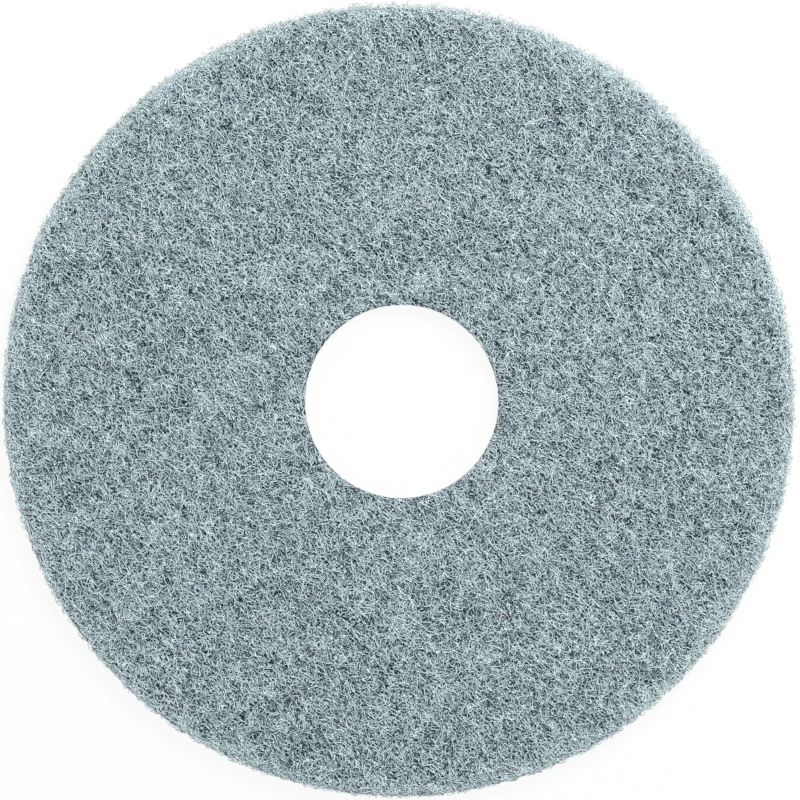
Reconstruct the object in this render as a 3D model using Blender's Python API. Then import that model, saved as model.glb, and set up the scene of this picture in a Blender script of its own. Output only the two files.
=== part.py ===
"""A round floor pad of lofty non-woven fibre with a centre hole, cut in one piece from a web.

Metres, +Z up. The origin is at the centre of the outer edge, on the face that lies on the floor.
"""

import math

import bmesh
import bpy
from mathutils import Vector, noise

# The pad as it is cut
PAD_DIAMETER = 0.355
PAD_THICKNESS = 0.022
HOLE_DIAMETER = 0.0862
HOLE_SHIFT_X = 0.0015

# The outer edge, where the springy web rounds over and the cut wall draws in a little
OUTER_EDGE_ROUND = 0.0030
OUTER_WALL_DRAW = 0.0006
OUTER_OVAL = 0.0003
OUTER_OVAL_ANGLE = math.radians(-65)
OUTER_RAGGED = 0.0005
OUTER_RAGGED_PITCH = 0.011

# The hole's edge, which is cut crisper
HOLE_EDGE_ROUND = 0.0009
HOLE_WALL_DRAW = 0.0003
HOLE_RAGGED = 0.0002
HOLE_RAGGED_PITCH = 0.007

# Shallow hollows in both faces, where the web is thin
HOLLOW_DEPTH = 0.0012
HOLLOW_PITCH = 0.017
HOLLOW_START = 0.05
HOLLOW_MARGIN = 0.012

# Which of the noise's many patterns each uneven line and each face takes
OUTER_SEED = 3
HOLE_SEED = 8
UPPER_SEED = 5
LOWER_SEED = 21

# How finely the form is drawn, and how steeply a straying edge dies out across the face
STEPS_ROUND = 120
RINGS_ON_FACE = 14
STEPS_EDGE_ROUND = 3
STEPS_WALL = 3
EDGE_FADE = 6

# Colour of the fibres and of the resin that binds them
WEB_COLOUR = (0.305, 0.375, 0.400, 1.0)
WEB_ROUGHNESS = 0.75

PAD_RADIUS = PAD_DIAMETER / 2
HOLE_RADIUS = HOLE_DIAMETER / 2


def clear_scene():
    for old in list(bpy.data.objects):
        bpy.data.objects.remove(old)


def rounded_wall(radius, edge_round, draw, outward):
    """Section points up one cut wall, from the lower face to the upper one, as (radius, height)."""
    points = []
    for step in range(STEPS_EDGE_ROUND + 1):
        turn = math.pi / 2 * step / STEPS_EDGE_ROUND
        inset = edge_round * (1 - math.sin(turn))
        points.append((radius - outward * inset, edge_round * (1 - math.cos(turn))))
    straight = PAD_THICKNESS - 2 * edge_round
    for step in range(1, STEPS_WALL):
        share = step / STEPS_WALL
        waist = draw * math.sin(math.pi * share)
        points.append((radius - outward * waist, edge_round + straight * share))
    for r, height in reversed(points[: STEPS_EDGE_ROUND + 1]):
        points.append((r, PAD_THICKNESS - height))
    return points


def face_radii(inner, outer):
    """Radii of the rings on a flat face, without its two edges."""
    return [inner + (outer - inner) * ring / RINGS_ON_FACE for ring in range(1, RINGS_ON_FACE)]


def section():
    """The closed outline that is turned into the pad, as (radius, height)."""
    outer = rounded_wall(PAD_RADIUS, OUTER_EDGE_ROUND, OUTER_WALL_DRAW, 1)
    hole = rounded_wall(HOLE_RADIUS, HOLE_EDGE_ROUND, HOLE_WALL_DRAW, -1)
    radii = face_radii(hole[0][0], outer[0][0])
    lower = [(r, 0.0) for r in radii]
    upper = [(r, PAD_THICKNESS) for r in reversed(radii)]
    return lower + outer + upper + list(reversed(hole))


def turned(outline):
    """A closed mesh, made by spinning the outline once round +Z."""
    mesh = bmesh.new()
    points = [mesh.verts.new((r, 0.0, z)) for r, z in outline]
    edges = [mesh.edges.new((a, b)) for a, b in zip(points, points[1:] + points[:1])]
    bmesh.ops.spin(
        mesh,
        geom=points + edges,
        cent=(0, 0, 0),
        axis=(0, 0, 1),
        angle=2 * math.pi,
        steps=STEPS_ROUND,
        use_merge=True,
    )
    bmesh.ops.recalc_face_normals(mesh, faces=mesh.faces)
    return mesh


def edge_wander(x, y, z, pitch, seed):
    """From -1 to 1, how far the cut strays at a point of a wall."""
    return noise.noise(Vector((x / pitch, y / pitch, z / pitch + seed)))


def hollow(x, y, seed):
    """From 0 to 1, how deep a face's hollow is at a point."""
    value = noise.noise(Vector((x / HOLLOW_PITCH, y / HOLLOW_PITCH, seed)))
    return max(0.0, value - HOLLOW_START) / (1 - HOLLOW_START)


def shape_walls(mesh):
    """Moves the hole off centre and gives both cut edges their uneven line."""
    for vertex in mesh.verts:
        x, y, z = vertex.co
        radius = math.hypot(x, y)
        angle = math.atan2(y, x)
        share = min(1.0, max(0.0, (radius - HOLE_RADIUS) / (PAD_RADIUS - HOLE_RADIUS)))
        oval = OUTER_OVAL * math.cos(2 * (angle - OUTER_OVAL_ANGLE))
        outer = oval + OUTER_RAGGED * edge_wander(x, y, z, OUTER_RAGGED_PITCH, OUTER_SEED)
        inner = HOLE_RAGGED * edge_wander(x, y, z, HOLE_RAGGED_PITCH, HOLE_SEED)
        grown = radius + outer * share**EDGE_FADE + inner * (1 - share) ** EDGE_FADE
        vertex.co.x = grown * math.cos(angle) + HOLE_SHIFT_X * (1 - share)
        vertex.co.y = grown * math.sin(angle)


def press_hollows(mesh):
    """Sinks the thin spots into the two faces. Their edges and the walls stay where they are."""
    face_start = HOLE_RADIUS + HOLE_EDGE_ROUND
    face_end = PAD_RADIUS - OUTER_EDGE_ROUND
    for vertex in mesh.verts:
        x, y, z = vertex.co
        radius = math.hypot(x, y)
        from_edge = min(radius - face_start, face_end - radius)
        depth = HOLLOW_DEPTH * min(1.0, max(0.0, from_edge / HOLLOW_MARGIN))
        if z < PAD_THICKNESS / 2:
            vertex.co.z += depth * hollow(x, y, LOWER_SEED)
        else:
            vertex.co.z -= depth * hollow(x, y, UPPER_SEED)


def web_material():
    material = bpy.data.materials.new("fibre_web")
    material.use_nodes = True
    shader = material.node_tree.nodes["Principled BSDF"]
    shader.inputs["Base Color"].default_value = WEB_COLOUR
    shader.inputs["Roughness"].default_value = WEB_ROUGHNESS
    shader.inputs["Metallic"].default_value = 0.0
    return material


def make_pad():
    mesh = turned(section())
    press_hollows(mesh)
    shape_walls(mesh)
    data = bpy.data.meshes.new("floor_pad")
    mesh.to_mesh(data)
    mesh.free()
    data.shade_smooth()
    data.materials.append(web_material())
    pad = bpy.data.objects.new("floor_pad", data)
    bpy.context.scene.collection.objects.link(pad)
    return pad


def main():
    clear_scene()
    make_pad()


main()
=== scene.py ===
import math
import random
import time

import bmesh
import bpy
import numpy as np
from mathutils import Matrix, Vector, noise
from mathutils.bvhtree import BVHTree


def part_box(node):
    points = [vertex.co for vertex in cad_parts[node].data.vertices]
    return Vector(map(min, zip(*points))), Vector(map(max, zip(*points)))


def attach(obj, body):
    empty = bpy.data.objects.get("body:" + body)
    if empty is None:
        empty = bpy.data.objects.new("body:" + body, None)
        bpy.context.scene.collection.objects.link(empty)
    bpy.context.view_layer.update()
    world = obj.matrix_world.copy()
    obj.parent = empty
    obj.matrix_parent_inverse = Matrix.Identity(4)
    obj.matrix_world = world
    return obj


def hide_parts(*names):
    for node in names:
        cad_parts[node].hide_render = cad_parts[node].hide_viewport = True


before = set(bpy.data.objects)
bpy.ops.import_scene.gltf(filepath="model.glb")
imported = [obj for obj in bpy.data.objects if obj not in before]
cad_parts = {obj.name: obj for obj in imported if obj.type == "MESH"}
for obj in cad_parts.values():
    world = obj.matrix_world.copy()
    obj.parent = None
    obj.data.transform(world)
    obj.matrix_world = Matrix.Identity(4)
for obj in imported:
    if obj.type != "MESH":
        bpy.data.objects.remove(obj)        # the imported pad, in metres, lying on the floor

started = time.time()
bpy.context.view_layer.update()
padLow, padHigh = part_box("floor_pad")
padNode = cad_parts["floor_pad"]
padRadius = (padHigh.x - padLow.x) / 2
padCentre = (padLow + padHigh) / 2
hole = {"radius": 0.0431, "centre": Vector((0.0015, 0, 0))}
mergeDistance = 0.000001     # two corners nearer than this are one


def report(words):
    print(f"{time.time() - started:6.1f} s  {words}", flush=True)


# Objects and shader nodes

def addObject(name, data):
    made = bpy.data.objects.new(name, data)
    bpy.context.scene.collection.objects.link(made)
    return made


def newMaterial(name):
    material = bpy.data.materials.new(name)
    material.use_nodes = True
    return material, material.node_tree.nodes, material.node_tree.links


def mathNode(nodes, links, operation, first, second=None):
    made = nodes.new("ShaderNodeMath")
    made.operation = operation
    for socket, value in zip(made.inputs, (first, second)):
        if isinstance(value, (int, float)):
            socket.default_value = value
        elif value is not None:
            links.new(value, socket)
    return made.outputs[0]


def mapRange(nodes, links, value, low, high, toLow, toHigh):
    made = nodes.new("ShaderNodeMapRange")
    for name, number in (("From Min", low), ("From Max", high), ("To Min", toLow), ("To Max", toHigh)):
        made.inputs[name].default_value = number
    links.new(value, made.inputs["Value"])
    return made.outputs["Result"]


def noiseNode(nodes, links, vector, scale, detail=1.0):
    made = nodes.new("ShaderNodeTexNoise")
    made.inputs["Scale"].default_value = scale
    made.inputs["Detail"].default_value = detail
    links.new(vector, made.inputs["Vector"])
    return made.outputs["Fac"]


def turnedVector(nodes, links, vector, place, turn):
    made = nodes.new("ShaderNodeMapping")
    made.inputs["Location"].default_value = place
    made.inputs["Rotation"].default_value = turn
    links.new(vector, made.inputs["Vector"])
    return made.outputs["Vector"]


# Blue-grey tones of the resin-coated fibres, from the painted shade of the deep gaps to the resin flecks
webTones = {
    # painted shade: the near black of the holes between the fibres, where the web's inside lies in shade
    "shadedGap": (0.008, 0.030, 0.040),
    "deep": (0.187, 0.287, 0.335),
    "middle": (0.672, 0.862, 0.985),
    "light": (0.820, 0.985, 1.000),
    "fleck": (0.880, 0.990, 1.000),
}


def toneRamp(nodes, links, value, stops):
    made = nodes.new("ShaderNodeValToRGB")
    elements = made.color_ramp.elements
    while len(elements) < len(stops):
        elements.new(0.5)
    for element, (place, tone) in zip(elements, stops):
        element.position = place
        element.color = (*webTones[tone], 1.0)
    links.new(value, made.inputs["Fac"])
    return made.outputs["Color"]


# The web was laid with more of its fibres along one diagonal than across it
lay = {
    "way": math.radians(133),
    "rise": 0.15,              # gives the diagonal a direction on the upright walls too
    "pull": 1.7,               # how strongly a fibre's heading is drawn to it
    "fineStretch": 1.25,       # how much longer the core's lines and cells are along it than across it
    "broadStretch": 3.2,       # the same for tufts, lumps and the mottle
}
layLine = Vector((math.cos(lay["way"]), math.sin(lay["way"]), lay["rise"]))


def laidVector(nodes, links, vector, stretch):
    made = nodes.new("ShaderNodeMapping")
    made.vector_type = "TEXTURE"
    made.inputs["Rotation"].default_value = (0, 0, lay["way"])
    made.inputs["Scale"].default_value = (math.sqrt(stretch), 1 / math.sqrt(stretch), 1)
    links.new(vector, made.inputs["Vector"])
    return made.outputs["Vector"]


def laidPlace(spot, pitch):
    # where a spot lies in a pattern that is drawn out along the lay, in pitches of the pattern
    stretch = math.sqrt(lay["broadStretch"])
    alongLay = spot.x * math.cos(lay["way"]) + spot.y * math.sin(lay["way"])
    acrossLay = spot.y * math.cos(lay["way"]) - spot.x * math.sin(lay["way"])
    return Vector((alongLay / stretch, acrossLay * stretch, spot.z)) / pitch


# How the web's thick and thin places show, the same pattern in both web materials: partly the web's own
# density, partly painted shade that darkens the thin, deeper places
mottle = {
    "pitch": 0.0055,
    "detail": 2.0,
    "share": 0.72,             # of the fine pattern, and the rest is the coarse one's
    "coarsePitch": 0.021,
    "span": (0.32, 0.68),      # the pattern's values at a thin place and at a thick one
    "onFibre": 0.20,
    "onCore": 0.070,
}


def mottleAndShade(nodes, links, vector, low, high):
    vector = laidVector(nodes, links, vector, lay["broadStretch"])
    fine = noiseNode(nodes, links, vector, 1 / mottle["pitch"], mottle["detail"])
    coarse = noiseNode(nodes, links, vector, 1 / mottle["coarsePitch"])
    both = mathNode(nodes, links, "ADD", mathNode(nodes, links, "MULTIPLY", fine, mottle["share"]),
                    mathNode(nodes, links, "MULTIPLY", coarse, 1 - mottle["share"]))
    return mapRange(nodes, links, both, *mottle["span"], low, high)


# Painted light: the web is coloured lighter towards the outer edge, where light comes through it and
# reaches its fibres from the side
rimLight = {"band": 0.012, "fade": 2.8, "onCore": 0.46, "onFibre": 0.36}


def paintedRimLight(nodes, links, vector, lift):
    flat = nodes.new("ShaderNodeVectorMath")
    flat.operation = "MULTIPLY"
    flat.inputs[1].default_value = (1, 1, 0)      # leaves the height out
    links.new(vector, flat.inputs[0])
    reach = nodes.new("ShaderNodeVectorMath")
    reach.operation = "LENGTH"
    links.new(flat.outputs[0], reach.inputs[0])
    share = mapRange(nodes, links, reach.outputs["Value"], padRadius - rimLight["band"], padRadius, 0.0, 1.0)
    return mathNode(nodes, links, "MULTIPLY", mathNode(nodes, links, "POWER", share, rimLight["fade"]), lift)


# Fibres painted in the core's surface, as lines where a noise passes its middle value
coreWeb = {
    "layers": 6,
    "scale": 430.0,            # of the first layer, per metre
    "scaleStep": 150.0,
    "layerShift": (3.7, 1.3, 7.1),   # from one layer's pattern to the next one's
    "layerTurn": (0.4, 0.3, 0.9),
    "layerFade": 0.05,
    "lineWidth": 0.052,
    "lineDetail": 0.5,
    "breakScale": 300.0,       # how often a line stops and starts
    "breakEdge": (0.42, 0.50),
    "netScale": 1300.0,        # the net of fine cells under them
    "netWidth": 0.16,
    "netTone": 0.85,
    "grainScale": 1500.0,
    "grainSpan": (0.3, 0.7),
    "grain": 0.45,
    # painted shade: the holes between the fibres, which the core is coloured near black in
    "shadedGapScale": 1150.0,        # the open holes between the fibres
    "shadedGapEdge": (0.355, 0.44),
    "shadedGapMottle": 0.3,
    "tones": ((0.43, "shadedGap"), (0.54, "deep"), (0.64, "middle"), (0.77, "light")),
    "relief": 0.0006,
    "bump": 0.8,
    "roughness": 0.8,
    "specular": 0.25,
}


def paintedFibres(nodes, links, laid):
    web = None
    for layer in range(coreWeb["layers"]):
        shift = [part * layer for part in coreWeb["layerShift"]]
        turn = [part * layer for part in coreWeb["layerTurn"]]
        vector = turnedVector(nodes, links, laid, shift, turn)
        scale = coreWeb["scale"] + coreWeb["scaleStep"] * layer
        value = noiseNode(nodes, links, vector, scale, coreWeb["lineDetail"])
        off = mathNode(nodes, links, "ABSOLUTE", mathNode(nodes, links, "SUBTRACT", value, 0.5))
        tone = 1.0 - coreWeb["layerFade"] * layer
        line = mapRange(nodes, links, off, coreWeb["lineWidth"], 0.0, 0.0, tone)
        breaks = noiseNode(nodes, links, vector, coreWeb["breakScale"], 0.0)
        breaks = mapRange(nodes, links, breaks, *coreWeb["breakEdge"], 0.0, 1.0)
        line = mathNode(nodes, links, "MULTIPLY", line, breaks)
        web = line if web is None else mathNode(nodes, links, "MAXIMUM", web, line)
    return web


def paintedNet(nodes, links, laid):
    cells = nodes.new("ShaderNodeTexVoronoi")
    cells.feature = "DISTANCE_TO_EDGE"
    cells.inputs["Scale"].default_value = coreWeb["netScale"]
    links.new(laid, cells.inputs["Vector"])
    distance = cells.outputs["Distance"]
    return mapRange(nodes, links, distance, coreWeb["netWidth"], 0.0, 0.0, coreWeb["netTone"])


def buildCoreMaterial():
    material, nodes, links = newMaterial("web_core")
    shader = nodes["Principled BSDF"]
    shader.inputs["Roughness"].default_value = coreWeb["roughness"]
    shader.inputs["Specular IOR Level"].default_value = coreWeb["specular"]
    place = nodes.new("ShaderNodeTexCoord").outputs["Object"]
    laid = laidVector(nodes, links, place, lay["fineStretch"])
    lines = paintedFibres(nodes, links, laid)
    web = mathNode(nodes, links, "MAXIMUM", lines, paintedNet(nodes, links, laid))
    grain = noiseNode(nodes, links, laid, coreWeb["grainScale"], 0.0)
    grain = mapRange(nodes, links, grain, *coreWeb["grainSpan"], 1 - coreWeb["grain"], 1 + coreWeb["grain"])
    toned = mathNode(nodes, links, "MULTIPLY", web, grain)
    # partly painted shade: the core is coloured darker in the thin places of the web
    densityAndShade = mottleAndShade(nodes, links, place, -mottle["onCore"], mottle["onCore"])
    toned = mathNode(nodes, links, "ADD", toned, densityAndShade)
    shift = mathNode(nodes, links, "MULTIPLY", densityAndShade, coreWeb["shadedGapMottle"])
    # painted shade: where this noise is low the core is coloured near black, as the shade in the web's
    # holes
    shadedGaps = mathNode(nodes, links, "ADD", noiseNode(nodes, links, laid, coreWeb["shadedGapScale"]), shift)
    shadedGaps = mapRange(nodes, links, shadedGaps, *coreWeb["shadedGapEdge"], 0.0, 1.0)
    toned = mathNode(nodes, links, "MULTIPLY", toned, shadedGaps)
    # painted light: the core is coloured lighter towards the outer edge
    toned = mathNode(nodes, links, "ADD", toned, paintedRimLight(nodes, links, place, rimLight["onCore"]))
    # painted shade: low values take the near-black tone, so the core is dark in its holes and between its
    # painted fibres
    links.new(toneRamp(nodes, links, toned, coreWeb["tones"]), shader.inputs["Base Color"])
    bump = nodes.new("ShaderNodeBump")
    bump.inputs["Distance"].default_value = coreWeb["relief"]
    bump.inputs["Strength"].default_value = coreWeb["bump"]
    links.new(web, bump.inputs["Height"])
    links.new(bump.outputs["Normal"], shader.inputs["Normal"])
    return material


# How unevenly the resin coats a fibre along its length
fibreCoat = {
    "scale": 750.0,
    "span": (0.33, 0.67),      # the pattern's values where the coat is thin and where it is thick
    "thin": 0.05,
    "thick": 3.0,
    "tones": ((0.0, "deep"), (0.17, "middle"), (0.34, "light"), (0.50, "fleck")),
    "roughness": 0.55,
    "specular": 0.35,
}


def buildFibreMaterial():
    material, nodes, links = newMaterial("web_fibre")
    shader = nodes["Principled BSDF"]
    shader.inputs["Roughness"].default_value = fibreCoat["roughness"]
    shader.inputs["Specular IOR Level"].default_value = fibreCoat["specular"]
    tone = nodes.new("ShaderNodeAttribute")
    tone.attribute_name = "fibreTone"
    place = nodes.new("ShaderNodeTexCoord").outputs["Object"]
    # partly painted shade: fibres lying in the thin places of the web are coloured darker
    densityAndShade = mottleAndShade(nodes, links, place, 1 - mottle["onFibre"], 1 + mottle["onFibre"])
    toned = mathNode(nodes, links, "MULTIPLY", tone.outputs["Fac"], densityAndShade)
    streak = noiseNode(nodes, links, place, fibreCoat["scale"])
    streak = mapRange(nodes, links, streak, *fibreCoat["span"], fibreCoat["thin"], fibreCoat["thick"])
    toned = mathNode(nodes, links, "MULTIPLY", toned, streak)
    # painted light: the fibres are coloured lighter towards the outer edge
    toned = mathNode(nodes, links, "ADD", toned, paintedRimLight(nodes, links, place, rimLight["onFibre"]))
    links.new(toneRamp(nodes, links, toned, fibreCoat["tones"]), shader.inputs["Base Color"])
    return material


# The pad's skin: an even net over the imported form, which the fibres walk on
skin = {"voxel": 0.0021, "smoothing": 2, "smoothingPull": 0.5}


def evaluatedMesh(holder):
    # the mesh that an object's modifiers or its bevel make, without the object
    data = bpy.data.meshes.new_from_object(holder.evaluated_get(bpy.context.evaluated_depsgraph_get()))
    bpy.data.objects.remove(holder)
    return data


def buildSkin():
    shell = bmesh.new()
    shell.from_mesh(padNode.data)
    bmesh.ops.remove_doubles(shell, verts=shell.verts, dist=mergeDistance)
    bmesh.ops.recalc_face_normals(shell, faces=shell.faces)
    data = bpy.data.meshes.new("skin")
    shell.to_mesh(data)
    shell.free()
    holder = addObject("skin", data)
    remesh = holder.modifiers.new("remesh", "REMESH")
    remesh.mode = "VOXEL"
    remesh.voxel_size = skin["voxel"]
    net = bmesh.new()
    net.from_mesh(evaluatedMesh(holder))
    for _ in range(skin["smoothing"]):
        bmesh.ops.smooth_vert(net, verts=net.verts, factor=skin["smoothingPull"],
                              use_axis_x=True, use_axis_y=True, use_axis_z=True)
    net.normal_update()
    return net


# The dense inside of the web, sunk below the skin so that the fibres stand clear of it
core = {
    "inset": 0.0012,
    "lump": 0.0009,            # how far its surface rises and falls
    "lumpPitch": 0.0050,
    "fineLump": 0.5,           # how high the finer lumps are next to these, and how many times closer
    "fineTimes": 2.3,
    "edgeRise": 0.0006,        # how much nearer it comes to the skin at the outer edge
    "edgeBand": 0.004,
    "holeInset": 0.0003,       # at the hole, which is cut crisp
    "holeBand": 0.0018,
}


def nearHole(spot, band):
    # 1 on the hole's wall, and 0 from one band's width away
    return min(1.0, max(0.0, 1 - ((spot - hole["centre"]).xy.length - hole["radius"]) / band))


def buildCore(net, material):
    body = net.copy()
    for vertex in body.verts:
        spot = vertex.co
        edge = max(0.0, 1 - (padRadius - spot.xy.length) / core["edgeBand"])
        place = laidPlace(spot, core["lumpPitch"])
        rise = noise.noise(place) + core["fineLump"] * noise.noise(place * core["fineTimes"])
        depth = max(core["holeInset"], core["inset"] - core["edgeRise"] * edge - core["lump"] * rise)
        near = nearHole(spot, core["holeBand"])
        vertex.co = spot - vertex.normal * (depth + (core["holeInset"] - depth) * near)
    data = bpy.data.meshes.new("web_core")
    body.to_mesh(data)
    body.free()
    data.shade_smooth()
    data.materials.append(material)
    return addObject("web_core", data)


# A crimped fibre walks over the skin, turning as it goes, and dips in and out of the web
fibre = {
    "radius": 0.00021,
    "radiusSpread": 0.22,
    "sides": 3,
    "shortStep": 0.0010,       # from one of its points to the next
    "longStep": 0.0019,
    "fewest": 4,               # points along the shortest of them
    "bow": 0.00012,            # how far a straight stretch may miss the curve
    "curl": 600.0,             # typical turning, in radians per metre
    "waves": ((1.0, (500, 1300)), (0.9, (1300, 2800))),   # each one's share of the curl, and its pitches
    "waveStart": (0, 6.3),     # anywhere in a full turn
    "bias": 0.08,              # the share of the curl that keeps to one side
    "leastTurning": 1.0,       # so that a straight stretch has a step too
    "liftSwing": (0.3, 0.7),   # how far it dips and climbs, as a share of its room
    "liftPitch": (600, 1400),
    "holeLift": -0.0002,       # fibres keep this far back from the hole's crisp edge
    "holeBand": 0.0016,
    "looseSide": math.radians(60),   # where round the outer edge the fuzz stands out furthest
}


# Fibres gather into tufts, which are drawn out along the lay
tufts = {
    "pitch": 0.0045,
    "pull": 0.8,               # how readily a sparse place is passed over
    "middle": 0.5,             # how sparse a usual place is
}


def tuftedPlace(rng, places):
    while True:
        spot, normal = rng.choice(places)
        sparse = tufts["middle"] - noise.noise(laidPlace(spot, tufts["pitch"]))
        if rng.random() > tufts["pull"] * sparse:
            return spot, normal


def firstHeading(rng, normal, waves, bias, length):
    angle = rng.uniform(0, 2 * math.pi)
    angle -= lay["pull"] / 2 * math.sin(2 * angle)
    # the waves and the bias swing the fibre to both sides of this angle
    angle -= sum(size / pitch * math.cos(start) for size, pitch, start in waves) + bias * length / 2
    heading = (layLine - normal * layLine.dot(normal)).normalized()
    heading.rotate(Matrix.Rotation(angle, 3, normal))
    return heading


def stepAlong(turning, pace):
    # the chord whose arc stands off it by the bow, kept between the shortest and longest step
    step = math.sqrt(8 * fibre["bow"] / max(abs(turning), fibre["leastTurning"]))
    return pace * min(fibre["longStep"], max(fibre["shortStep"], step))


def walkFibre(tree, rng, spot, normal, piece):
    length = rng.uniform(*piece["length"])
    lowLift, highLift = piece["lift"]
    highLift += piece.get("lean", 0.0) * math.cos(math.atan2(spot.y, spot.x) - fibre["looseSide"])
    waves = [(rng.gauss(0, fibre["curl"] * share), rng.uniform(*pitches), rng.uniform(*fibre["waveStart"]))
             for share, pitches in fibre["waves"]]
    bias = rng.gauss(0, fibre["curl"] * fibre["bias"])
    heading = firstHeading(rng, normal, waves, bias, length)
    middle = rng.uniform(lowLift, highLift)
    swing = (highLift - lowLift) * rng.uniform(*fibre["liftSwing"])
    liftPitch = rng.uniform(*fibre["liftPitch"])
    liftStart = rng.uniform(*fibre["waveStart"])
    points = []
    gone = 0.0
    while gone < length or len(points) < fibre["fewest"]:
        lift = middle + swing * math.sin(liftPitch * gone + liftStart)
        cap = highLift + (fibre["holeLift"] - highLift) * nearHole(spot, fibre["holeBand"])
        points.append(spot + normal * min(cap, max(lowLift, lift)))
        turning = bias + sum(size * math.sin(pitch * gone + start) for size, pitch, start in waves)
        step = stepAlong(turning, piece.get("pace", 1.0))
        heading.rotate(Matrix.Rotation(turning * step, 3, normal))
        found, normal, _, _ = tree.find_nearest(spot + heading * step)
        heading = found - spot
        heading = (heading - normal * heading.dot(normal)).normalized()
        spot = found
        gone += step
    return points


def addProfile():
    profile = bpy.data.curves.new("fibreProfile", "CURVE")
    profile.dimensions = "2D"
    line = profile.splines.new("POLY")
    line.points.add(fibre["sides"] - 1)
    line.use_cyclic_u = True
    for corner, point in enumerate(line.points):
        angle = math.radians(90 + 360 / fibre["sides"] * corner)
        point.co = (math.cos(angle), math.sin(angle), 0, 1)
    return addObject("fibreProfile", profile)


def tubesAlong(name, paths, radii, profile):
    curve = bpy.data.curves.new(name, "CURVE")
    curve.dimensions = "3D"
    curve.bevel_mode = "OBJECT"
    curve.bevel_object = profile
    curve.twist_mode = "Z_UP"
    for path, radius in zip(paths, radii):
        line = curve.splines.new("POLY")
        line.points.add(len(path) - 1)
        line.points.foreach_set("co", [number for point in path for number in (*point, 1.0)])
        thick = [0.0] + [radius] * (len(path) - 2) + [0.0]      # both tips run out to a point
        line.points.foreach_set("radius", thick)
    data = evaluatedMesh(addObject(name, curve))
    bpy.data.curves.remove(curve)
    return data


# Each fibre has one tone, and a cell of its own on the map that holds the colours when they are kept
colourMap = {"name": "OFBake", "margin": 0.1}


def markFibres(data, paths, tones):
    perPoint = np.repeat(np.arange(len(paths)), [fibre["sides"] * len(path) for path in paths])
    data.attributes.new("fibreTone", "FLOAT", "POINT").data.foreach_set("value", tones[perPoint])
    corners = np.empty(len(data.loops), np.int32)
    data.loops.foreach_get("vertex_index", corners)
    cell = perPoint[corners]
    across = math.ceil(math.sqrt(len(paths)))
    layer = data.uv_layers[0]
    layer.name = colourMap["name"]
    inside = np.empty(len(data.loops) * 2, np.float32)
    layer.uv.foreach_get("vector", inside)
    inside = colourMap["margin"] + (1 - 2 * colourMap["margin"]) * inside.reshape(-1, 2)
    places = (np.stack([cell % across, cell // across], 1) + inside) / across
    layer.uv.foreach_set("vector", places.astype(np.float32).ravel())


def closeTubes(data):
    tubes = bmesh.new()
    tubes.from_mesh(data)
    bmesh.ops.remove_doubles(tubes, verts=tubes.verts, dist=mergeDistance)
    bmesh.ops.recalc_face_normals(tubes, faces=tubes.faces)
    tubes.to_mesh(data)
    tubes.free()
    data.shade_smooth()


def buildFibres(piece, tree, places, profile, material):
    rng = random.Random(piece["seed"])
    paths, radii, tones = [], [], []
    for _ in range(piece["fibres"]):
        spot, normal = tuftedPlace(rng, places)
        path = walkFibre(tree, rng, spot, normal, piece)
        for point in path:
            point.z = max(point.z, padLow.z + fibre["radius"])
        paths.append(path)
        spread = rng.uniform(1 - fibre["radiusSpread"], 1 + fibre["radiusSpread"])
        radii.append(fibre["radius"] * spread * piece.get("thick", 1.0))
        tones.append(min(1.0, max(0.0, rng.gauss(*piece["tone"]))))
    data = tubesAlong(piece["name"], paths, radii, profile)
    markFibres(data, paths, np.array(tones, np.float32))
    closeTubes(data)
    data.materials.clear()
    data.materials.append(material)
    made = addObject(piece["name"], data)
    report(f"{piece['name']}: {len(paths)} fibres, {len(data.polygons)} faces")
    return made


# Which places of the skin a piece's fibres start from, by how much they face up or down
facing = {"flat": 0.5, "upright": 0.8}


def isUpper(middle, normal):
    return normal.z > facing["flat"]


def isUnder(middle, normal):
    return normal.z < -facing["flat"]


def isOuter(middle, normal):
    return abs(normal.z) <= facing["upright"] and middle.xy.length > padRadius / 2


def isHole(middle, normal):
    return abs(normal.z) <= facing["upright"] and middle.xy.length < padRadius / 2


def skinPlaces(net, wanted):
    found = []
    for face in net.faces:
        middle = face.calc_center_median()
        if wanted(middle, face.normal):
            found.append((middle, face.normal.copy()))
    return found


# A piece's lift is how far below and above the skin its fibres run, and its tone has a middle and a spread.
# Lean raises the upper limit on the loose side and lowers it across from there. Thick and pace scale a
# fibre's radius and its steps.
upperFibres = [
    {"name": f"web_upper_{part}", "seed": 11 + part, "fibres": 6700, "length": (0.004, 0.0115),
     "lift": (-0.0010, 0.0009), "tone": (0.72, 0.38)} for part in range(4)
]
resinFlecks = {"name": "web_flecks", "seed": 61, "fibres": 1800, "length": (0.0014, 0.0032),
               "lift": (0.0001, 0.0008), "tone": (1.0, 0.1), "thick": 1.7, "pace": 0.5}
underFibres = {"name": "web_under", "seed": 31, "fibres": 2800, "length": (0.004, 0.0115),
               "lift": (-0.0012, -0.0003), "tone": (0.5, 0.24)}
outerFibres = {"name": "web_edge", "seed": 41, "fibres": 1100, "length": (0.008, 0.020),
               "lift": (-0.0012, 0.0004), "lean": 0.0007, "tone": (0.7, 0.22)}
strayFibres = {"name": "web_strays", "seed": 45, "fibres": 1500, "length": (0.003, 0.007),
               "lift": (-0.0012, 0.0015), "lean": 0.0012, "tone": (0.3, 0.25)}
holeFibres = {"name": "web_hole", "seed": 51, "fibres": 300, "length": (0.006, 0.016),
              "lift": (-0.0010, -0.0002), "tone": (0.5, 0.22)}


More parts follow.
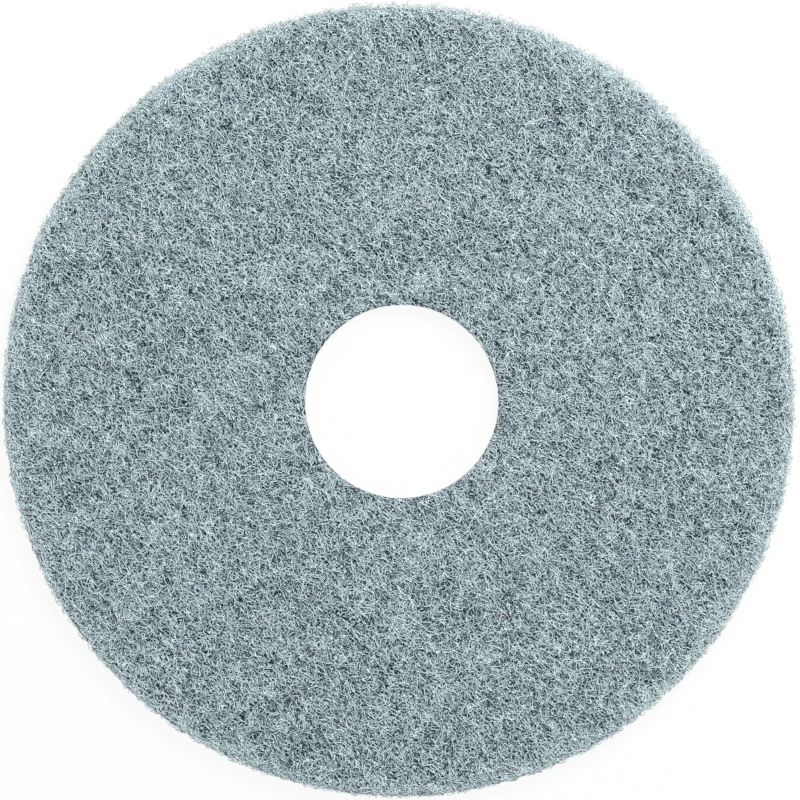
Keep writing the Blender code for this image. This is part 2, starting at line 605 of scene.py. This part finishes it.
def buildPad():
    net = buildSkin()
    report(f"skin: {len(net.faces)} faces")
    tree = BVHTree.FromBMesh(net)
    coreMaterial = buildCoreMaterial()
    fibreMaterial = buildFibreMaterial()
    body = buildCore(net, coreMaterial)
    report("core")
    profile = addProfile()
    pieces = [body]
    for fibres, wanted in ((upperFibres + [resinFlecks], isUpper), ([underFibres], isUnder),
                           ([outerFibres, strayFibres], isOuter), ([holeFibres], isHole)):
        places = skinPlaces(net, wanted)
        pieces += [buildFibres(piece, tree, places, profile, fibreMaterial) for piece in fibres]
    bpy.data.objects.remove(profile)
    net.free()
    for piece in pieces:
        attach(piece, "root")
    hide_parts("floor_pad")


# A white floor that keeps the pad's shadow, and soft light from all round
studio = {
    "floorSize": 8.0,
    "floorWhite": 0.92,
    "floorRoughness": 0.9,
    "floorGlow": 0.93,         # how much of what the camera sees of the floor is plain white
    "worldTint": (0.96, 0.985, 1.0),
    "worldStrength": 0.35,
    "keyPlace": (0.22, 0.38, 1.40),
    "keySize": 0.45,
    "keyPower": 17.0,
}


def seenDirectly(nodes, links):
    # 1 for what the camera sees, and for what metal or glass would show of it
    sight = nodes.new("ShaderNodeLightPath")
    seen = mathNode(nodes, links, "ADD", sight.outputs["Is Camera Ray"], sight.outputs["Is Glossy Ray"])
    return mathNode(nodes, links, "ADD", seen, sight.outputs["Is Transmission Ray"])


def mixShaders(nodes, links, share, first, second):
    mix = nodes.new("ShaderNodeMixShader")
    links.new(share, mix.inputs[0])
    links.new(first.outputs[0], mix.inputs[1])
    links.new(second.outputs[0], mix.inputs[2])
    return mix.outputs[0]


def buildFloor():
    sheet = bmesh.new()
    bmesh.ops.create_grid(sheet, x_segments=1, y_segments=1, size=studio["floorSize"] / 2)
    data = bpy.data.meshes.new("floor")
    sheet.to_mesh(data)
    sheet.free()
    floor = addObject("floor", data)
    material, nodes, links = newMaterial("floor_white")
    shader = nodes["Principled BSDF"]
    shader.inputs["Base Color"].default_value = (*[studio["floorWhite"]] * 3, 1.0)
    shader.inputs["Roughness"].default_value = studio["floorRoughness"]
    glow = nodes.new("ShaderNodeEmission")
    share = mathNode(nodes, links, "MULTIPLY", seenDirectly(nodes, links), studio["floorGlow"])
    links.new(mixShaders(nodes, links, share, shader, glow), nodes["Material Output"].inputs["Surface"])
    data.materials.append(material)


def buildWorld():
    world = bpy.data.worlds.new("studio")
    bpy.context.scene.world = world
    world.use_nodes = True
    nodes, links = world.node_tree.nodes, world.node_tree.links
    sky = nodes["Background"]
    sky.inputs["Color"].default_value = (*studio["worldTint"], 1.0)
    sky.inputs["Strength"].default_value = studio["worldStrength"]
    backdrop = nodes.new("ShaderNodeBackground")
    backdrop.inputs["Color"].default_value = (1, 1, 1, 1)
    seen = seenDirectly(nodes, links)
    links.new(mixShaders(nodes, links, seen, sky, backdrop), nodes["World Output"].inputs["Surface"])


def buildKeyLight():
    light = bpy.data.lights.new("key", "AREA")
    light.shape = "DISK"
    light.size = studio["keySize"]
    light.energy = studio["keyPower"]
    lamp = addObject("key", light)
    lamp.location = studio["keyPlace"]
    lamp.rotation_euler = (-lamp.location).to_track_quat("-Z", "Y").to_euler()


# Straight above the pad, as in the photograph, and far off so that the hole's wall stays hidden
view = {
    "lens": 420.0,
    "sensor": 36.0,
    "clipEnd": 20.0,
    "pictureSide": 800.0,      # pixels, as are the next two
    "padRadius": 395.6,
    "padCentre": (398.55, 401.5),
}


def buildCamera():
    data = bpy.data.cameras.new("camera")
    data.lens = view["lens"]
    data.sensor_width = view["sensor"]
    data.clip_end = view["clipEnd"]
    perPixel = padRadius / view["padRadius"]
    side = perPixel * view["pictureSide"]
    camera = addObject("camera", data)
    middle = view["pictureSide"] / 2
    camera.location = (padCentre.x + (middle - view["padCentre"][0]) * perPixel,
                       padCentre.y - (middle - view["padCentre"][1]) * perPixel,
                       padHigh.z + side * view["lens"] / view["sensor"])
    bpy.context.scene.camera = camera


buildCamera()
buildPad()
buildFloor()
buildWorld()
buildKeyLight()
bpy.context.scene.view_settings.view_transform = "Standard"
bpy.context.scene.cycles.use_denoising = False      # it would smear fibres as fine as these
report("studio and camera")
